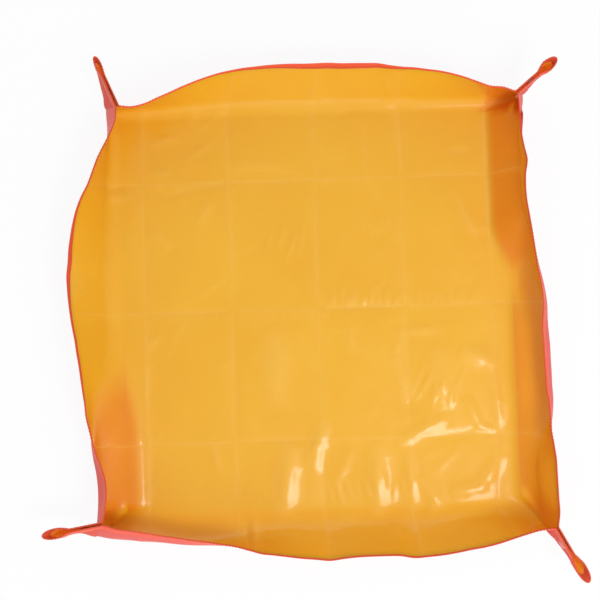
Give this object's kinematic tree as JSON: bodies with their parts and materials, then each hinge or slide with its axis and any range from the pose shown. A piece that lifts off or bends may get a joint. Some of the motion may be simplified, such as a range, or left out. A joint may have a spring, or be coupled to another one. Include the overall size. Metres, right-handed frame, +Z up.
{
  "type": "repotting mat",
  "caption": "Square waterproof sheet whose snapped corners fold its edges up into a shallow tray for potting work.",
  "frame": {"origin": "middle of the underside of the flat floor", "axes": "+Z up out of the tray, +X towards the east wall, +Y towards the north wall"},
  "size_m": [0.6716, 0.6748, 0.0745],
  "materials": {
    "woven_sheet": "glossy coated woven sheet, yellow inside and coral outside",
    "binding_tape": "woven edge tape, sewn on",
    "snap_steel": "plated snap fastener"
  },
  "bodies": {
    "floor": {"sheet_floor": "woven_sheet"},
    "wall_north": {"sheet_north_wall": "woven_sheet", "binding_north_wall": "binding_tape"},
    "wall_east": {"sheet_east_wall": "woven_sheet", "binding_east_wall": "binding_tape"},
    "wall_south": {"sheet_south_wall": "woven_sheet", "binding_south_wall": "binding_tape"},
    "wall_west": {"sheet_west_wall": "woven_sheet", "binding_west_wall": "binding_tape"},
    "layer_nw_north": {"corner_layer_nw_north": "woven_sheet", "binding_nw_north": "binding_tape", "snap_cap_nw": "snap_steel", "snap_socket_nw": "snap_steel"},
    "layer_nw_west": {"corner_layer_nw_west": "woven_sheet", "binding_nw_west": "binding_tape", "snap_stud_nw": "snap_steel", "snap_post_nw": "snap_steel"},
    "layer_ne_north": {"corner_layer_ne_north": "woven_sheet", "binding_ne_north": "binding_tape", "snap_cap_ne": "snap_steel", "snap_socket_ne": "snap_steel"},
    "layer_ne_east": {"corner_layer_ne_east": "woven_sheet", "binding_ne_east": "binding_tape", "snap_stud_ne": "snap_steel", "snap_post_ne": "snap_steel"},
    "layer_se_south": {"corner_layer_se_south": "woven_sheet", "binding_se_south": "binding_tape", "snap_cap_se": "snap_steel", "snap_socket_se": "snap_steel"},
    "layer_se_east": {"corner_layer_se_east": "woven_sheet", "binding_se_east": "binding_tape", "snap_stud_se": "snap_steel", "snap_post_se": "snap_steel"},
    "layer_sw_south": {"corner_layer_sw_south": "woven_sheet", "binding_sw_south": "binding_tape", "snap_cap_sw": "snap_steel", "snap_socket_sw": "snap_steel"},
    "layer_sw_west": {"corner_layer_sw_west": "woven_sheet", "binding_sw_west": "binding_tape", "snap_stud_sw": "snap_steel", "snap_post_sw": "snap_steel"}
  },
  "joints": [
    {"name": "west_wall_fold", "type": "hinge", "parent": "floor", "child": "wall_west", "pos_m": [-0.27, 0, 0.00025], "axis": [0, -1, 0], "range_deg": [0, 37]},
    {"name": "north_wall_fold", "type": "hinge", "parent": "floor", "child": "wall_north", "pos_m": [0, 0.27, 0.00025], "axis": [-1, 0, 0], "range_deg": [0, 42]},
    {"name": "east_wall_fold", "type": "hinge", "parent": "floor", "child": "wall_east", "pos_m": [0.27, 0, 0.00025], "axis": [0, 1, 0], "range_deg": [0, 48]},
    {"name": "south_wall_fold", "type": "hinge", "parent": "floor", "child": "wall_south", "pos_m": [0, -0.27, 0.00025], "axis": [1, 0, 0], "range_deg": [0, 37]},
    {"name": "nw_north_layer_fold", "type": "hinge", "parent": "wall_north", "child": "layer_nw_north", "pos_m": [-0.26827, 0.27073, -0.00029], "axis": [0.3522, -0.1523, 0.9234], "range_deg": [0, 56.21]},
    {"name": "nw_west_layer_fold", "type": "hinge", "parent": "wall_west", "child": "layer_nw_west", "pos_m": [-0.27173, 0.26927, 0.00079], "axis": [0.3522, -0.1523, 0.9234], "range_deg": [0, 1.46]},
    {"name": "ne_north_layer_fold", "type": "hinge", "parent": "wall_north", "child": "layer_ne_north", "pos_m": [0.26877, 0.27152, 0.00024], "axis": [-0.1847, -0.1458, 0.9719], "range_deg": [-22.59, 0]},
    {"name": "ne_east_layer_fold", "type": "hinge", "parent": "wall_east", "child": "layer_ne_east", "pos_m": [0.27123, 0.26848, 0.00026], "axis": [-0.1847, -0.1458, 0.9719], "range_deg": [0, 42.29]},
    {"name": "se_south_layer_fold", "type": "hinge", "parent": "wall_south", "child": "layer_se_south", "pos_m": [0.26831, -0.27095, 0.00042], "axis": [0.1894, -0.1695, 0.9672], "range_deg": [0, 22.36]},
    {"name": "se_east_layer_fold", "type": "hinge", "parent": "wall_east", "child": "layer_se_east", "pos_m": [0.2717, -0.26905, 0.00008], "axis": [0.1894, -0.1695, 0.9672], "range_deg": [-8.3, 0]},
    {"name": "sw_south_layer_fold", "type": "hinge", "parent": "wall_south", "child": "layer_sw_south", "pos_m": [-0.26968, -0.2719, 0.00058], "axis": [-0.0503, 0.1609, 0.9857], "range_deg": [0, 15.82]},
    {"name": "sw_west_layer_fold", "type": "hinge", "parent": "wall_west", "child": "layer_sw_west", "pos_m": [-0.27032, -0.2681, -0.00008], "axis": [-0.0503, 0.1609, 0.9857], "range_deg": [0, 58.06]}
  ],
  "couplings": [
    {"joint": "north_wall_fold", "follows": "west_wall_fold", "ratio": 1.1351},
    {"joint": "east_wall_fold", "follows": "west_wall_fold", "ratio": 1.2973},
    {"joint": "south_wall_fold", "follows": "west_wall_fold", "ratio": 1},
    {"joint": "nw_north_layer_fold", "follows": "west_wall_fold", "ratio": 1.519},
    {"joint": "nw_west_layer_fold", "follows": "west_wall_fold", "ratio": 0.039186},
    {"joint": "ne_north_layer_fold", "follows": "west_wall_fold", "ratio": -0.61034},
    {"joint": "ne_east_layer_fold", "follows": "west_wall_fold", "ratio": 1.1427},
    {"joint": "se_south_layer_fold", "follows": "west_wall_fold", "ratio": 0.60391},
    {"joint": "se_east_layer_fold", "follows": "west_wall_fold", "ratio": -0.22395},
    {"joint": "sw_south_layer_fold", "follows": "west_wall_fold", "ratio": 0.4273},
    {"joint": "sw_west_layer_fold", "follows": "west_wall_fold", "ratio": 1.5688}
  ]
}
